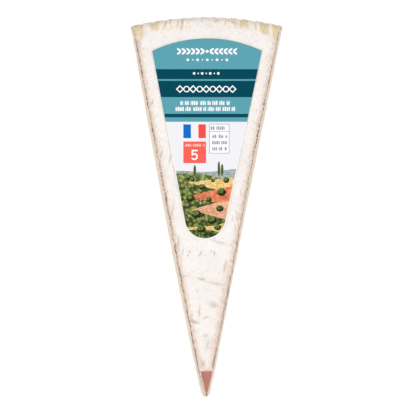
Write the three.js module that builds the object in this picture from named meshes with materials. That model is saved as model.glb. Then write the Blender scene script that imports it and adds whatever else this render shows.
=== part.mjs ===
// A wedge of ripe brie, shrink-wrapped in clear film. A shaped paper label lies on the upper
// rind, and a small coloured tab covers the nose. Millimetres, +Z up.
// The wedge lies on its lower rind, with its nose towards -Y and the wheel's rim towards +Y.
// The origin is under the middle of the wedge.

import * as THREE from "three";

// The wrapped wedge, one sixteenth of a 360 mm wheel
const wedgeLength = 180; // nose to rim, the wheel's radius
const thickness = 30; // rind to rind
const halfAngle = THREE.MathUtils.degToRad(10.95); // between the middle line and a cut face
const noseRadius = 2.75; // plan radius of the wrapped nose
const rimRadius = 155; // plan radius of the rim, where ripe cheese has slumped
const cornerRadius = 0.7; // plan radius between a cut face and the rim
const filletReach = 1.5; // how far that rounding runs along both walls
const nosePinch = 0.2; // the share of the width that the nose has lost
const pinchReach = 5; // distance from the tip in which two thirds of it come back
const bow = 0.6; // how far the middle of the wedge stands off to the left
const bowSkew = 0.8; // brings the widest part of the bow nearer to the nose
const lean = 0.0024; // radians by which the wedge runs off to the right, towards the rim
const sideSwell = 0.2; // how far a cut face stands out, half way along

// The section, from the upper rind down
const rindThickness = 1.6; // the band of the cut rind, which the film rounds off
const edgeRound = 1; // how far in the rounded edge of the rind runs
const rindSetback = 1; // how far the paste bulges out past the upper rind
const lowerRindSetback = 0.7; // the same at the lower rind, where the paste has sunk
const bulgeReach = 3; // depth in which the bulge gains two thirds of its width
const shoulderRadius = 5; // round of the rim into the two rinds
const sealHeight = 0.4; // how far the film's seal stands out, half way down
const sealWidth = 1.6; // height of the band that the seal takes on the wall

// Relief of the rind. The length of a wave is given as that of one radian of it.
const swellHeight = 0.35; // slow rise and fall of the upper rind
const swellLength = 13; // the main swell, along the wedge
const swellWidth = 11; // the same across it
const swellPhase = 0.6; // its phase at the origin, in radians, along the wedge
const swellSidePhase = -0.4; // the same across it
const slantShare = 0.6; // height of the slanting swell, as a share of the main one's
const slantLength = 7.5;
const slantPhase = 1.9;
const slantLean = 0.8; // how fast its crests run back across the wedge
const ridgeDepth = 0.55; // upright grooves that the mould pressed into the rim
const ridgePitch = 5.15; // between two grooves
const ridgeDrift = 1.4; // how far, in radians, that pitch wanders
const ridgeDriftLength = 6.5;
const ridgeReach = 4.5; // how far the grooves run in over the upper rind
const ridgeShare = 0.6; // their depth on the upper rind, as a share of that on the rim
const ridgeFade = 8; // height over which the film's taut seal hides the grooves
const ridgeClearance = 6; // the grooves start this share of the rim's half width from a corner
const jagWidth = 0.14; // unevenness of the rind's cut edge
const jagLength = 2.1;
const jagPhase = 1; // in radians, with a sign for each side
const fineJagLength = 0.93;
const fineJagPhase = 2.4;

// The label, a fan with a round lower end
const labelTopY = 79.5;
const labelShoulderY = 73.7; // where the top arc meets the straight sides
const labelShoulderHalfWidth = 25.8;
const labelEndY = -14.95;
const labelEndRadius = 9.9;
const labelMiddleY = 40; // the label is turned a little about this point of its middle line
const labelTurn = 0.011; // radians, clockwise seen from above
const labelThickness = 0.35;

// The tab on the nose
const tabTopY = -76;
const tabTipY = -87.2;
const tabTopHalfWidth = 3;
const tabTipHalfWidth = 0.45;
const tabMiddleX = 0.15;
const tabThickness = 0.35;

const sheetGap = 0.3; // between the film and a sheet lying on it

// Mesh density
const lengthSteps = 46;
const noseSteps = 6;
const rimSteps = 56;
const endCrowding = 0.55; // how much shorter the steps at both ends of the length are
const noseFlattening = 8; // the power by which rows across a sheet lose the curve of its low end
const rimFlattening = 2; // the same for its high end
const labelRows = 24;
const labelColumns = 14;
const tabRows = 6;
const tabColumns = 4;

const noseCentreY = noseRadius - wedgeLength / 2;
const rimCentreY = wedgeLength / 2 - rimRadius;
const cutNormal = new THREE.Vector2(Math.cos(halfAngle), -Math.sin(halfAngle)); // of the +X cut face
const cutDirection = new THREE.Vector2(Math.sin(halfAngle), Math.cos(halfAngle)); // along it, to the rim

// Horizontal levels at which the wall is drawn, as depths below the upper rind
const sealDepth = thickness / 2;
const upperDepths = [0, 0.35, 0.8, rindThickness, 2.8, 4.6, 8, sealDepth - sealWidth / 2];
const lowerDepths = upperDepths.map((depth) => thickness - depth).reverse();
const wallDepths = [...upperDepths, sealDepth, ...lowerDepths];

// How far a cut face stands in from the widest outline at a depth: the rind's rounded edge, then
// the bulging paste, whose set-back dies away as an exponential. The seal alone stands at 0.
function cutInset(depth) {
  if (depth === sealDepth) return 0;
  const setback = depth < sealDepth ? rindSetback : lowerRindSetback;
  const below = Math.min(depth, thickness - depth);
  const rounding = edgeRound * (1 - Math.min(1, below / rindThickness)) ** 2;
  const bulge = setback * Math.exp(-Math.max(0, below - rindThickness) / bulgeReach);
  return sealHeight + bulge + rounding;
}

// The same for the rim, whose shoulders are quarter circles.
function rimInset(depth) {
  if (depth === sealDepth) return 0;
  const rise = 1 - Math.min(1, Math.min(depth, thickness - depth) / shoulderRadius);
  return sealHeight + shoulderRadius * (1 - Math.sqrt(1 - rise * rise));
}

// Depth of the rim's grooves at x: the upper half of a sine whose pitch wanders.
function grooveDepth(x) {
  const drift = ridgeDrift * Math.sin(x / ridgeDriftLength);
  return ridgeDepth * Math.max(0, Math.sin((2 * Math.PI * x) / ridgePitch + drift));
}

// Height of the upper rind above its mean level: two swells, and the rim's grooves.
function lift(x, y) {
  const main = Math.sin(y / swellLength + swellPhase) * Math.cos(x / swellWidth + swellSidePhase);
  const slant = slantShare * Math.sin((y + slantLean * x) / slantLength + slantPhase);
  const fromRim = rimRadius - Math.hypot(x, y - rimCentreY);
  const fade = Math.exp(-Math.max(0, fromRim) / ridgeReach);
  return swellHeight * (main + slant) - ridgeShare * grooveDepth(x) * fade;
}

// Share of the width that is left at y, where the nose is drawn together towards its tip.
function pinchAt(y) {
  return 1 - nosePinch * Math.exp(-(y + wedgeLength / 2) / pinchReach);
}

// Sideways shift of the wedge at y: its lean, and a skewed half wave from the nose to the rim.
function bowAt(y) {
  const share = THREE.MathUtils.clamp(y / wedgeLength + 0.5, 0, 1);
  return lean * y - bow * Math.sin(Math.PI * share ** bowSkew);
}

// How much the edge of the rind wanders at y, on the side given by sign.
function jag(y, sign) {
  const coarse = Math.sin(y / jagLength + jagPhase * sign);
  const fine = Math.sin(y / fineJagLength + fineJagPhase * sign);
  return jagWidth * (coarse + fine);
}

// The wall's plan outline at a depth: four curves, each a function from a share of its length to a
// point. low is the nose and high the rim, both from -1 at the left to 1 at the right; left and
// right are the cut faces, from 0 at the nose to 1 at the rim.
function wedgeOutline(depth) {
  const noseRound = noseRadius - cutInset(depth);
  const rim = rimRadius - rimInset(depth);
  const start = cutNormal.clone().multiplyScalar(noseRound).add(new THREE.Vector2(0, noseCentreY));
  const toRimCentre = start.clone().sub(new THREE.Vector2(0, rimCentreY));
  const along = -toRimCentre.dot(cutDirection);
  const faceLength = along + Math.sqrt(along * along - toRimCentre.lengthSq() + rim * rim);
  const corner = start.clone().addScaledVector(cutDirection, faceLength);
  const rimAngle = Math.asin(corner.x / rim);
  const onRind = Math.min(depth, thickness - depth) <= rindThickness ? 1 : 0;

  // Draws a point near the corner in along both walls, as a fillet does.
  function rounded(point, distance) {
    const near = Math.max(0, 1 - distance / (filletReach * cornerRadius));
    const pull = cornerRadius * (1 - Math.SQRT1_2) * near * near;
    const rimNormal = new THREE.Vector2(Math.sin(rimAngle), Math.cos(rimAngle));
    return point.addScaledVector(cutNormal, -pull).addScaledVector(rimNormal, -pull);
  }

  function right(share, sign = 1) {
    const point = start.clone().addScaledVector(cutDirection, faceLength * share);
    const outwards = sideSwell - onRind * jag(point.y, sign);
    point.addScaledVector(cutNormal, outwards * Math.sin(Math.PI * share));
    return rounded(point, faceLength * (1 - share));
  }

  function left(share) {
    const point = right(share, -1);
    point.x = -point.x;
    return point;
  }

  function low(side) {
    const turn = side * (Math.PI / 2 - halfAngle);
    return new THREE.Vector2(noseRound * Math.sin(turn), noseCentreY - noseRound * Math.cos(turn));
  }

  function high(side) {
    const turn = rimAngle * Math.abs(side);
    const edge = Math.min(1, ridgeClearance * (1 - Math.abs(side)));
    const bare = Math.min(1, Math.abs(depth - sealDepth) / ridgeFade);
    const radius = rim - edge * bare * grooveDepth(rim * Math.sin(rimAngle * side));
    const point = new THREE.Vector2(radius * Math.sin(turn), rimCentreY + radius * Math.cos(turn));
    rounded(point, rim * rimAngle * (1 - Math.abs(side)));
    point.x *= Math.sign(side) || 1;
    return point;
  }

  return { low, high, left, right };
}

// The label: straight sides that touch a round lower end, an arc across the top, a little turned.
function labelOutline() {
  const endCentreY = labelEndY + labelEndRadius;
  const sideRise = labelShoulderY - endCentreY;
  const reach = Math.hypot(labelShoulderHalfWidth, sideRise);
  const spread = Math.atan2(labelShoulderHalfWidth, sideRise) - Math.asin(labelEndRadius / reach);
  const touchX = labelEndRadius * Math.cos(spread);
  const touchY = endCentreY - labelEndRadius * Math.sin(spread);
  const topRise = labelTopY - labelShoulderY;
  const topRadius = (labelShoulderHalfWidth ** 2 + topRise ** 2) / (2 * topRise);
  const topAngle = Math.asin(labelShoulderHalfWidth / topRadius);

  function turned(x, y) {
    return new THREE.Vector2(x + labelTurn * (y - labelMiddleY), y);
  }

  function side(share, sign) {
    const x = THREE.MathUtils.lerp(touchX, labelShoulderHalfWidth, share);
    return turned(sign * x, THREE.MathUtils.lerp(touchY, labelShoulderY, share));
  }

  function low(across) {
    const angle = across * (Math.PI / 2 - spread);
    return turned(labelEndRadius * Math.sin(angle), endCentreY - labelEndRadius * Math.cos(angle));
  }

  function high(across) {
    const angle = across * topAngle;
    return turned(topRadius * Math.sin(angle), labelTopY - topRadius * (1 - Math.cos(angle)));
  }

  return { low, high, left: (share) => side(share, -1), right: (share) => side(share, 1) };
}

// The tab, a blunt triangle.
function tabOutline() {
  function point(share, across) {
    const halfWidth = THREE.MathUtils.lerp(tabTipHalfWidth, tabTopHalfWidth, share);
    const y = THREE.MathUtils.lerp(tabTipY, tabTopY, share);
    return new THREE.Vector2(tabMiddleX + across * halfWidth, y);
  }

  return {
    low: (across) => point(0, across),
    high: (across) => point(1, across),
    left: (share) => point(share, -1),
    right: (share) => point(share, 1),
  };
}

// A point inside an outline: straight across between left and right, plus what is left of the
// bow of the low curve, which dies away fast, and of the high curve, which dies away slowly.
function inside(outline, share, side) {
  const across = (side + 1) / 2;
  const point = outline.left(share).lerp(outline.right(share), across);
  const lowChord = outline.low(-1).lerp(outline.low(1), across);
  const highChord = outline.high(-1).lerp(outline.high(1), across);
  point.addScaledVector(outline.low(side).sub(lowChord), (1 - share) ** noseFlattening);
  return point.addScaledVector(outline.high(side).sub(highChord), share ** rimFlattening);
}

// The share of the length at step i, with shorter steps at both ends.
function lengthShare(i, steps) {
  const even = i / steps;
  return THREE.MathUtils.lerp(even, THREE.MathUtils.smoothstep(even, 0, 1), endCrowding);
}

function evenly(steps, from, to) {
  return Array.from({ length: steps + 1 }, (_, i) => from + ((to - from) * i) / steps);
}

// A closed surface under construction: points, and triangles that run anticlockwise from outside.
class Shell {
  points = [];
  faces = [];

  add(x, y, z) {
    this.points.push(x, y, z);
    return this.points.length / 3 - 1;
  }

  // Fills between two rows that run from left to right, seen from outside, high above low.
  fill(low, high) {
    let i = 0;
    let j = 0;
    while (i < low.length - 1 || j < high.length - 1) {
      const lowNext = (i + 1) / (low.length - 1);
      const highNext = (j + 1) / (high.length - 1);
      if (j === high.length - 1 || (i < low.length - 1 && lowNext <= highNext)) {
        this.faces.push(low[i], low[i + 1], high[j]);
        i += 1;
      } else {
        this.faces.push(low[i], high[j + 1], high[j]);
        j += 1;
      }
    }
  }

  geometry() {
    const geometry = new THREE.BufferGeometry();
    geometry.setAttribute("position", new THREE.Float32BufferAttribute(this.points, 3));
    geometry.setIndex(this.faces);
    geometry.computeVertexNormals();
    return geometry;
  }
}

// The wrapped wedge: rings of points down the wall, rows across the upper rind, and a flat base.
function wedgeGeometry() {
  const shell = new Shell();
  const shares = evenly(lengthSteps, 0, lengthSteps).map((i) => lengthShare(i, lengthSteps));

  function place({ x, y }, depth) {
    const bowed = x * pinchAt(y) + bowAt(y);
    return shell.add(bowed, y, thickness - depth + lift(bowed, y) * (1 - depth / thickness));
  }

  // The four sides of the outline at a depth, as indices, with the corners shared.
  function ring(depth) {
    const outline = wedgeOutline(depth);
    const right = shares.map((share) => place(outline.right(share), depth));
    const left = shares.map((share) => place(outline.left(share), depth));
    const between = (steps, curve, first, last) => [
      first,
      ...evenly(steps, -1, 1).slice(1, -1).map((side) => place(curve(side), depth)),
      last,
    ];
    const low = between(noseSteps, outline.low, left[0], right[0]);
    const high = between(rimSteps, outline.high, left.at(-1), right.at(-1));
    return { low, high, left, right };
  }

  // All of a ring's points, anticlockwise seen from above, with the first repeated at the end.
  function around({ low, high, left, right }) {
    const back = [...high].reverse().slice(1);
    return [...low, ...right.slice(1), ...back, ...[...left].reverse().slice(1)];
  }

  const rings = wallDepths.map(ring);
  for (let i = 1; i < rings.length; i += 1) shell.fill(around(rings[i]), around(rings[i - 1]));

  const top = rings[0];
  const topOutline = wedgeOutline(0);
  let below = top.low;
  for (let i = 1; i <= lengthSteps; i += 1) {
    const steps = Math.round(THREE.MathUtils.lerp(noseSteps, rimSteps, shares[i]));
    const middle = evenly(steps, -1, 1).slice(1, -1);
    const row =
      i === lengthSteps
        ? top.high
        : [
            top.left[i],
            ...middle.map((side) => place(inside(topOutline, shares[i], side), 0)),
            top.right[i],
          ];
    shell.fill(below, row);
    below = row;
  }

  const base = around(rings.at(-1)).slice(0, -1);
  const contour = base.map((i) => new THREE.Vector2(shell.points[3 * i], shell.points[3 * i + 1]));
  for (const [a, b, c] of THREE.ShapeUtils.triangulateShape(contour, [])) {
    shell.faces.push(base[a], base[c], base[b]);
  }
  return shell.geometry();
}

// A thin sheet that follows the upper rind inside an outline, just clear of it.
function sheetGeometry(outline, sheetThickness, rowCount, columnCount) {
  const shell = new Shell();
  const face = (offset) =>
    evenly(rowCount, 0, 1).map((share) =>
      evenly(columnCount, -1, 1).map((side) => {
        const point = inside(outline, share, side);
        return shell.add(point.x, point.y, thickness + lift(point.x, point.y) + offset);
      }),
    );
  const upper = face(sheetGap + sheetThickness);
  const lower = face(sheetGap);
  for (let i = 1; i <= rowCount; i += 1) {
    shell.fill(upper[i - 1], upper[i]);
    shell.fill([...lower[i - 1]].reverse(), [...lower[i]].reverse());
  }
  const edge = (rows) => [
    ...rows[0],
    ...rows.slice(1).map((row) => row.at(-1)),
    ...[...rows.at(-1)].reverse().slice(1),
    ...rows.slice(0, -1).reverse().map((row) => row[0]),
  ];
  shell.fill(edge(lower), edge(upper));
  return shell.geometry();
}

function finish(color, roughness) {
  return new THREE.MeshStandardMaterial({ color, roughness, metalness: 0 });
}

function mesh(name, geometry, material) {
  const made = new THREE.Mesh(geometry, material);
  made.name = name;
  return made;
}

const brie = new THREE.Group();

brie.add(mesh("wrapped_brie", wedgeGeometry(), finish(0xf6f2ec, 0.35)));

const label = sheetGeometry(labelOutline(), labelThickness, labelRows, labelColumns);
brie.add(mesh("label", label, finish(0x64a2b0, 0.5)));

const noseTab = sheetGeometry(tabOutline(), tabThickness, tabRows, tabColumns);
brie.add(mesh("nose_tab", noseTab, finish(0xb47c68, 0.5)));

export default brie;
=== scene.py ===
"""The looks of a slim wedge of ripe brie in its shrink-wrap, lying on its lower rind.

The cheese, the clear film, the printed label and the nose tab are four closed skins. Each is a
stack of rings round an outline, worked out in millimetres as whole arrays: +Y runs from the nose
to the wheel's rim, and +Z is up.
"""

import math

import bmesh
import bpy
import numpy as np
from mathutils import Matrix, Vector


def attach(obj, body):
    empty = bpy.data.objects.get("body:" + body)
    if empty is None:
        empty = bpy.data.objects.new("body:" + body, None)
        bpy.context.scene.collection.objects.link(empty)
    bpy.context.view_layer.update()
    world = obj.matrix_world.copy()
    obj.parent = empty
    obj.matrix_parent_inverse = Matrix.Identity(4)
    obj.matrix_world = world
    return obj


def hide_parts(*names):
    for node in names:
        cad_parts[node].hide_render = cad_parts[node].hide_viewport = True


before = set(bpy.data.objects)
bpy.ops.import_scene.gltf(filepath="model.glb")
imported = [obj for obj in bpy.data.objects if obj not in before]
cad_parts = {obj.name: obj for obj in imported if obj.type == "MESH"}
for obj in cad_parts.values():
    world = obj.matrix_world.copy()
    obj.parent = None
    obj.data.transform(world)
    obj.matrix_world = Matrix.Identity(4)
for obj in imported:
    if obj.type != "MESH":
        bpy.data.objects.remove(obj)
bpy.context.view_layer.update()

MM = 0.001  # metres

# The wedge, one sixteenth of a 360 mm wheel. Lengths are in millimetres.
WEDGE_LENGTH = 180.0
THICKNESS = 30.0
HALF_ANGLE = math.radians(10.95)  # between the middle line and a cut face
NOSE_RADIUS = 2.75
RIM_RADIUS = 155.0
CORNER_RADIUS = 0.7

# The wall's section, from the upper rind down
RIND = 1.6  # the band of the cut rind, which the film rounds off
UPPER_SETBACK = 1.0  # how far the paste bulges out past the upper rind
LOWER_SETBACK = 0.7
BULGE_REACH = 3.0  # depth in which the bulge gains two thirds of its width
EDGE_ROUND = 1.0  # how far in the rounded edge of the rind runs
SHOULDER = 5.0  # round of the rim into the two rinds
EYES = 34  # small holes in each cut face
SEAL_HEIGHT = 0.4  # how far the film's seal stands out, half way down
SEAL_THICKNESS = 0.16

# Relief of the upper rind
SWELL = 0.35  # height of its broad swells
RIDGE_DEPTH = 0.55  # grooves that the mould pressed into the rim
RIDGE_PITCH = 5.15
RIDGE_REACH = 4.5  # distance in from the rim in which they lose two thirds of their depth
RIDGE_FADE = 8.0  # distance from the film's seal within which they grow shallow
JAG = 0.14  # unevenness of the rind's cut edge
CREASE_PITCH = 20.2  # lines that the draining mat left across the wedge
CREASE_TILT = 0.285
CREASE_START = -14.5

NOSE_PINCH = 0.2  # the share of the width that the nose has lost
PINCH_REACH = 5.0
BOW = 0.6  # how far the middle of the wedge stands off to the left
LEAN = 0.0024  # radians by which the wedge runs off to the right, towards the rim
SIDE_SWELL = 0.2  # how far a cut face stands out, half way along
FILM_PROUD = 0.3  # the film's wall stands this far out of the solid's, short of its seal
FILM_ROOM = 0.15  # between the cheese and the film
FAN_MIDDLE_X, FAN_MIDDLE_Y = 33.0, 84.0  # wrinkles of the film fan out from here at each corner
LABEL_RISE = 0.15  # the label's lower face above the cheese's nominal top
PAPER = 0.15  # thickness of the label and of the tab

# The label, a fan with a round lower end
LABEL_TOP = 79.5
LABEL_SHOULDER = 73.7
LABEL_HALF_WIDTH = 25.8
LABEL_END = -14.95
LABEL_END_RADIUS = 9.9
LABEL_MIDDLE = 40.0  # the label is turned a little about this point of its middle line
LABEL_TURN = 0.011

# The tab on the nose, a triangle with its blunt tip to the nose
TAB_TOP = -76.0
TAB_TIP = -87.2
TAB_TOP_HALF_WIDTH = 3.0
TAB_TIP_HALF_WIDTH = 0.45
TAB_MIDDLE = 0.15

NOSE_CENTRE = NOSE_RADIUS - WEDGE_LENGTH / 2
APEX = NOSE_CENTRE - NOSE_RADIUS / math.sin(HALF_ANGLE)  # where the cut faces would meet
RIM_CENTRE = WEDGE_LENGTH / 2 - RIM_RADIUS
COS, SIN = math.cos(HALF_ANGLE), math.sin(HALF_ANGLE)
SPINE_END = 60.0  # the caps of a skin close on a line from the nose to here


# Shapes

def grain(x, y, size, seed, octaves=3):
    """Smooth unevenness, mostly from -1 to 1: in each octave ten sine waves of random direction and
    phase, of about the size, which halves with each octave as their height does."""
    random = np.random.default_rng(seed)
    total = np.zeros(np.broadcast(x, y).shape)
    for octave in range(octaves):
        for _ in range(10):
            angle, phase = random.uniform(0, math.tau, 2)
            wave = math.tau * 2**octave / (size * random.uniform(0.7, 1.4))
            total += np.sin(wave * (x * math.cos(angle) + y * math.sin(angle)) + phase) / 2**octave
    return total / 4.5


def groove(x):
    """Depth of the rim's upright grooves: the upper half of a sine whose pitch wanders near 5 mm."""
    return RIDGE_DEPTH * np.maximum(0, np.sin(math.tau * x / RIDGE_PITCH + 1.4 * np.sin(x / 6.5)))


def from_rim(x, y):
    """Distance inside the rim's widest circle."""
    return RIM_RADIUS - np.hypot(x, y - RIM_CENTRE)


def lift(x, y, ridges=1.0):
    """Height of the upper rind above its mean level: two crossing swells, and the rim's grooves,
    which die away inwards."""
    swell = np.sin(y / 13 + 0.6) * np.cos(x / 11 - 0.4) + 0.6 * np.sin((y + 0.8 * x) / 7.5 + 1.9)
    fade = np.exp(-np.maximum(0, from_rim(x, y)) / RIDGE_REACH)
    return SWELL * swell - 0.6 * ridges * groove(x) * fade


def bow(y):
    """Sideways shift of the wedge: its lean, and a skewed half wave from the nose to the rim."""
    share = np.clip((y + WEDGE_LENGTH / 2) / WEDGE_LENGTH, 0, 1)
    return LEAN * y - BOW * np.sin(math.pi * share**0.8)


def pinch(y):
    """Share of the width that is left at y: the nose is drawn together, and more so to its tip."""
    return 1 - NOSE_PINCH * np.exp(-(y + WEDGE_LENGTH / 2) / PINCH_REACH)


def cut_inset(depth):
    """How far a cut face stands in from the widest outline: the rind's rounded edge, then the
    bulging paste, whose set-back dies away as an exponential."""
    below = np.minimum(depth, THICKNESS - depth)
    setback = np.where(depth < THICKNESS / 2, UPPER_SETBACK, LOWER_SETBACK)
    rounding = EDGE_ROUND * (1 - np.minimum(1, below / RIND)) ** 2
    bulge = setback * np.exp(-np.maximum(0, below - RIND) / BULGE_REACH)
    return SEAL_HEIGHT + bulge + rounding


def rim_inset(depth):
    """The same for the rim, whose two shoulders are quarter circles."""
    rise = 1 - np.clip(np.minimum(depth, THICKNESS - depth) / SHOULDER, 0, 1)
    return SEAL_HEIGHT + SHOULDER * (1 - np.sqrt(1 - rise**2))


class Columns:
    """The columns of a skin, anticlockwise seen from above: round the nose, up the right side, over
    the rim from right to left, and down the left side. share runs from 0 at the nose to 1 at the
    rim, and turn from -1 at the left to 1 at the right on the nose and the rim."""

    def __init__(self, nose_steps, side_steps, rim_steps):
        even = np.arange(side_steps) / side_steps
        eased = 0.45 * even + 0.55 * (3 * even**2 - 2 * even**3)
        nose_turn = np.linspace(-1, 1, nose_steps, endpoint=False)
        rim_turn = np.linspace(1, -1, rim_steps, endpoint=False)
        counts = (nose_steps, side_steps, rim_steps, side_steps)
        place = np.repeat(np.arange(4), counts)
        self.nose, self.right, self.rim, self.left = (place == i for i in range(4))
        self.side = self.right | self.left
        self.share = np.concatenate([np.zeros(nose_steps), eased, np.ones(rim_steps), 1 - eased])
        self.turn = np.concatenate([nose_turn, np.ones(side_steps), rim_turn, -np.ones(side_steps)])
        self.mirror = np.where(self.turn < 0, -1.0, 1.0)


def wedge_ring(columns, cut, rim, grooves=0.0, wander=0.0):
    """Plan points of rings that stand in from the widest outline by cut on the cut faces and the
    nose and by rim at the rim. A cut face is a straight line that ends where it meets the rim's
    circle, the nose is an arc, and the corner is drawn in along both walls as a fillet is."""
    nose_radius = NOSE_RADIUS - cut
    rim_radius = RIM_RADIUS - rim
    start_x, start_y = COS * nose_radius, NOSE_CENTRE - SIN * nose_radius - RIM_CENTRE
    along = -(start_x * SIN + start_y * COS)
    face = along + np.sqrt(along**2 - start_x**2 - start_y**2 + rim_radius**2)
    corner_angle = np.arcsin((start_x + SIN * face) / rim_radius)

    nose_angle = columns.turn * (math.pi / 2 - HALF_ANGLE)
    rim_angle = columns.turn * corner_angle
    outwards = (SIDE_SWELL - wander) * np.sin(math.pi * columns.share)
    side_x = start_x + SIN * face * columns.share + COS * outwards
    side_y = start_y + COS * face * columns.share - SIN * outwards + RIM_CENTRE
    x = np.select(
        [columns.nose, columns.rim],
        [nose_radius * np.sin(nose_angle), (rim_radius - grooves) * np.sin(rim_angle)],
        side_x * columns.mirror,
    )
    y = np.select(
        [columns.nose, columns.rim],
        [NOSE_CENTRE - nose_radius * np.cos(nose_angle),
         RIM_CENTRE + (rim_radius - grooves) * np.cos(rim_angle)],
        side_y,
    )
    to_corner = np.where(
        columns.rim,
        rim_radius * corner_angle * (1 - abs(columns.turn)),
        face * (1 - columns.share),
    )
    near = np.where(columns.nose, 0, np.maximum(0, 1 - to_corner / (1.5 * CORNER_RADIUS)))
    pull = CORNER_RADIUS * (1 - math.sqrt(0.5)) * near**2
    x = x - pull * columns.mirror * (COS + np.sin(corner_angle))
    y = y - pull * (np.cos(corner_angle) - SIN)
    return x * pinch(y) + bow(y), y


def spine(columns, first, last):
    """The middle line on which a skin's caps close, as plan points, one for each column."""
    return np.zeros_like(columns.share), first + (last - first) * columns.share


def cap(ring_x, ring_y, spine_x, spine_y, rows):
    """Plan points from just inside a ring to the middle line, evenly spaced."""
    inward = np.arange(1, rows + 1)[:, None] / rows
    return ring_x + (spine_x - ring_x) * inward, ring_y + (spine_y - ring_y) * inward


def skin(name, x, y, z, **attributes):
    """A closed skin from rings of points: quads between neighbouring rings all the way round. The
    first and last rings lie on a line, where the two sides are merged. Each attribute is a number
    for each point."""
    rings, around = x.shape
    index = np.arange(rings * around).reshape(rings, around)
    after = np.roll(index, -1, axis=1)
    quads = np.stack([index[:-1], after[:-1], after[1:], index[1:]], axis=-1).reshape(-1, 4)
    points = MM * np.stack([x, y, z], axis=-1).reshape(-1, 3)
    mesh = bpy.data.meshes.new(name)
    mesh.from_pydata(points, [], quads)
    for key, values in attributes.items():
        layer = mesh.attributes.new(key, "FLOAT", "POINT")
        layer.data.foreach_set("value", np.ascontiguousarray(values, np.float32).ravel())
    work = bmesh.new()
    work.from_mesh(mesh)
    bmesh.ops.remove_doubles(work, verts=work.verts, dist=0.001 * MM)
    bmesh.ops.dissolve_degenerate(work, edges=work.edges, dist=0.0005 * MM)
    bmesh.ops.recalc_face_normals(work, faces=work.faces)
    work.to_mesh(mesh)
    work.free()
    mesh.shade_smooth()
    piece = bpy.data.objects.new(name, mesh)
    bpy.context.scene.collection.objects.link(piece)
    return piece


def levels(columns, keys, shoulder_rows, wall_rows):
    """Depths of a wall's rings below the upper rind. At the rim they divide the shoulders by equal
    angles; on the cut faces they follow the keys, pairs of row share and depth; and over the last
    tenth of a cut face they turn from one to the other."""
    angle = np.linspace(0, math.pi / 2, shoulder_rows, endpoint=False)
    middle = np.linspace(SHOULDER, THICKNESS - SHOULDER, wall_rows, endpoint=False)
    upper = SHOULDER * (1 - np.cos(angle))
    lower = THICKNESS - SHOULDER * (1 - np.cos(np.append(angle, math.pi / 2)[::-1]))
    rim_depth = np.concatenate([upper, middle, lower])
    row = np.linspace(0, 1, len(rim_depth))
    cut_depth = np.interp(row, *zip(*keys))
    near = np.where(columns.rim, 1, np.clip((columns.share - 0.9) / 0.1, 0, 1))
    blend = near**2 * (3 - 2 * near)
    return cut_depth[:, None] * (1 - blend) + rim_depth[:, None] * blend


def crease(x, y):
    """The mat's lines, 1 on a line and 0 between: a bell across a wandering line that repeats at a
    fixed pitch, stronger and fainter along it."""
    run = y + CREASE_TILT * x + 0.9 * grain(x, y, 28, 5, 2) - CREASE_START
    off_line = (run + CREASE_PITCH / 2) % CREASE_PITCH - CREASE_PITCH / 2
    return np.exp(-((off_line / 0.7) ** 2)) * np.clip(0.55 + 0.6 * grain(x, y, 9, 6, 2), 0, 1)


def jag(along, mirror):
    """How far the cut edge of the rind wanders in, along each side: two sines and finer breaks."""
    waves = np.sin(along / 2.1 + mirror) + np.sin(along / 0.93 + 2.4 * mirror)
    return JAG * waves + 0.22 * grain(along, 40 * mirror, 1.8, 11)


def eyes(along, z, mirror):
    """Dents of the small holes in the paste: a bell for each, wider than high, at random places."""
    random = np.random.default_rng(23)
    dent = np.zeros(np.broadcast(along, z).shape)
    for side in (-1, 1):
        for _ in range(EYES):
            middle, height = random.uniform(6, 172), random.normal(15, 6)
            wide = random.exponential(0.6) + 0.4
            high, deep = wide * random.uniform(0.35, 0.7), wide * random.uniform(0.15, 0.4)
            bell = np.exp(-(((along - middle) / wide) ** 2) - ((z - height) / high) ** 2)
            dent += np.where(mirror == side, deep * bell, 0)
    return dent


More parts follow.
